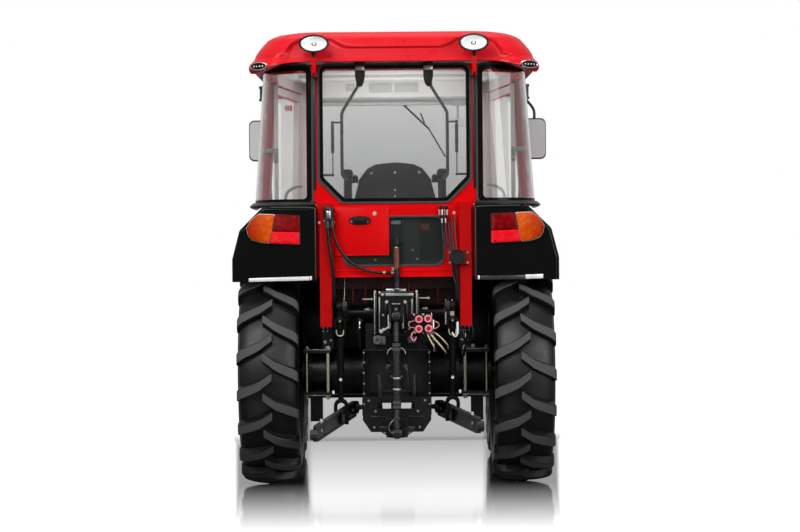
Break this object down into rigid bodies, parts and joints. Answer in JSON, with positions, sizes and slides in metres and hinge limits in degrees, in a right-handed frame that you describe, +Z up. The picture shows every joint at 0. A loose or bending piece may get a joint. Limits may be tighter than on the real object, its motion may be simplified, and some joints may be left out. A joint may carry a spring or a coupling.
{
  "type": "farm tractor",
  "caption": "Compact farm tractor with a closed cab, large rear wheels, steered front wheels, opening doors and bonnet, and a rear three-point hitch that lifts.",
  "frame": {"origin": "on the ground under the middle of the bounding box", "axes": "+Y forward, +X to the driver's right, +Z up"},
  "size_m": [1.887, 3.6499, 2.5998],
  "materials": {
    "black_plastic": "matte",
    "driveline_paint": "satin",
    "fender_plastic": "gloss",
    "glass": "gloss",
    "grey_plastic": "matte",
    "lamp_clear": "gloss",
    "lamp_red": "gloss",
    "red_paint": "gloss",
    "rim_paint": "satin",
    "roof_plastic": "gloss",
    "rubber": "matte",
    "seat_cover": "matte",
    "steel": "satin",
    "tyre": "matte"
  },
  "bodies": {
    "chassis": {"axle_clamps": "driveline_paint", "battery_box": "black_plastic", "cab_firewall": "driveline_paint", "cab_floor": "grey_plastic", "cab_frame": "red_paint", "cab_rear_panel": "red_paint", "dashboard": "black_plastic", "drawbar_frame": "driveline_paint", "engine": "driveline_paint", "exhaust": "steel", "filler_neck": "steel", "front_axle_beam": "driveline_paint", "front_frame": "driveline_paint", "fuel_tank": "driveline_paint", "gearbox": "driveline_paint", "hoses": "rubber", "lift_housing": "driveline_paint", "lower_window": "glass", "mirrors": "black_plastic", "mudguards": "fender_plastic", "pto_shaft": "steel", "quarter_windows": "glass", "rear_axle_housing": "driveline_paint", "rear_fittings": "black_plastic", "rear_window": "glass", "remote_couplers": "driveline_paint", "roof": "roof_plastic", "roof_liner": "grey_plastic", "seat": "seat_cover", "steps": "driveline_paint", "tail_lamps": "lamp_red", "window_frame": "driveline_paint", "windscreen": "glass", "work_lamps": "lamp_clear"},
    "rear_wheel_left": {"rear_tyre_left": "tyre", "rear_rim_left": "rim_paint"},
    "rear_wheel_right": {"rear_tyre_right": "tyre", "rear_rim_right": "rim_paint"},
    "front_wheel_left": {"front_tyre_left": "tyre", "front_rim_left": "rim_paint"},
    "front_wheel_right": {"front_tyre_right": "tyre", "front_rim_right": "rim_paint"},
    "knuckle_left_body": {"knuckle_left": "driveline_paint"},
    "knuckle_right_body": {"knuckle_right": "driveline_paint"},
    "tie_rod_body": {"tie_rod": "steel"},
    "steering_wheel_body": {"steering_wheel": "black_plastic"},
    "door_left_body": {"door_left": "red_paint", "door_glass_left": "glass"},
    "door_right_body": {"door_right": "red_paint", "door_glass_right": "glass"},
    "hood_body": {"hood": "red_paint", "grille": "black_plastic", "headlamps": "lamp_clear"},
    "lift_arms_body": {"lift_arms": "driveline_paint"},
    "lift_rod_left_body": {"lift_rod_left": "driveline_paint"},
    "lift_rod_right_body": {"lift_rod_right": "driveline_paint"},
    "lower_link_left_body": {"lower_link_left": "driveline_paint"},
    "lower_link_right_body": {"lower_link_right": "driveline_paint"},
    "top_link_body": {"top_link": "driveline_paint"}
  },
  "joints": [
    {"name": "rear_wheel_left_spin", "type": "hinge", "parent": "chassis", "child": "rear_wheel_left", "pos_m": [-0.72, -0.965, 0.645], "axis": [-1, 0, 0], "continuous": true},
    {"name": "steer_left", "type": "hinge", "parent": "chassis", "child": "knuckle_left_body", "pos_m": [-0.6, 1.085, 0.495], "axis": [0, 0, 1], "range_deg": [-38, 38]},
    {"name": "front_wheel_left_spin", "type": "hinge", "parent": "knuckle_left_body", "child": "front_wheel_left", "pos_m": [-0.71, 1.085, 0.495], "axis": [-1, 0, 0], "continuous": true},
    {"name": "rear_wheel_right_spin", "type": "hinge", "parent": "chassis", "child": "rear_wheel_right", "pos_m": [0.72, -0.965, 0.645], "axis": [-1, 0, 0], "continuous": true},
    {"name": "steer_right", "type": "hinge", "parent": "chassis", "child": "knuckle_right_body", "pos_m": [0.6, 1.085, 0.495], "axis": [0, 0, 1], "range_deg": [-38, 38]},
    {"name": "front_wheel_right_spin", "type": "hinge", "parent": "knuckle_right_body", "child": "front_wheel_right", "pos_m": [0.71, 1.085, 0.495], "axis": [-1, 0, 0], "continuous": true},
    {"name": "tie_rod_pivot", "type": "hinge", "parent": "knuckle_left_body", "child": "tie_rod_body", "pos_m": [-0.6, 0.885, 0.405], "axis": [0, 0, 1], "range_deg": [-38, 38]},
    {"name": "steering_wheel_turn", "type": "hinge", "parent": "chassis", "child": "steering_wheel_body", "pos_m": [0, -0.135, 1.64], "axis": [0, -0.4191, 0.908], "range_deg": [-342, 342]},
    {"name": "door_left_hinge", "type": "hinge", "parent": "chassis", "child": "door_left_body", "pos_m": [-0.80294, -0.632, 1.79], "axis": [0.0686, 0, 0.9976], "range_deg": [0, 80]},
    {"name": "door_right_hinge", "type": "hinge", "parent": "chassis", "child": "door_right_body", "pos_m": [0.80294, -0.632, 1.79], "axis": [0.0686, 0, -0.9976], "range_deg": [0, 80]},
    {"name": "hood_hinge", "type": "hinge", "parent": "chassis", "child": "hood_body", "pos_m": [0, 0.49, 1.405], "axis": [1, 0, 0], "range_deg": [0, 45]},
    {"name": "lift_arms_raise", "type": "hinge", "parent": "chassis", "child": "lift_arms_body", "pos_m": [0, -1.195, 0.99], "axis": [-1, 0, 0], "range_deg": [-24, 21]},
    {"name": "lower_link_left_pivot", "type": "hinge", "parent": "chassis", "child": "lower_link_left_body", "pos_m": [-0.235, -1.015, 0.44], "axis": [-1, 0, 0], "range_deg": [-20.47, 17.97]},
    {"name": "lift_rod_left_pivot", "type": "hinge", "parent": "lift_arms_body", "child": "lift_rod_left_body", "pos_m": [-0.316, -1.45, 1.03], "axis": [-1, 0, 0], "range_deg": [-19.55, 22.2]},
    {"name": "lower_link_right_pivot", "type": "hinge", "parent": "chassis", "child": "lower_link_right_body", "pos_m": [0.235, -1.015, 0.44], "axis": [-1, 0, 0], "range_deg": [-20.65, 18.13]},
    {"name": "lift_rod_right_pivot", "type": "hinge", "parent": "lift_arms_body", "child": "lift_rod_right_body", "pos_m": [0.316, -1.45, 1.03], "axis": [-1, 0, 0], "range_deg": [-19.91, 22.61]},
    {"name": "top_link_swing", "type": "hinge", "parent": "chassis", "child": "top_link_body", "pos_m": [0, -1.577, 0.975], "axis": [-1, 0, 0], "range_deg": [0, 95]}
  ],
  "couplings": [
    {"joint": "steer_right", "follows": "steer_left", "ratio": 1},
    {"joint": "tie_rod_pivot", "follows": "steer_left", "ratio": -1},
    {"joint": "steering_wheel_turn", "follows": "steer_left", "ratio": 9},
    {"joint": "lower_link_left_pivot", "follows": "lift_arms_raise", "ratio": 0.8321},
    {"joint": "lower_link_right_pivot", "follows": "lift_arms_raise", "ratio": 0.8396},
    {"joint": "lift_rod_left_pivot", "follows": "lift_arms_raise", "ratio": -0.8833},
    {"joint": "lift_rod_right_pivot", "follows": "lift_arms_raise", "ratio": -0.9003}
  ]
}
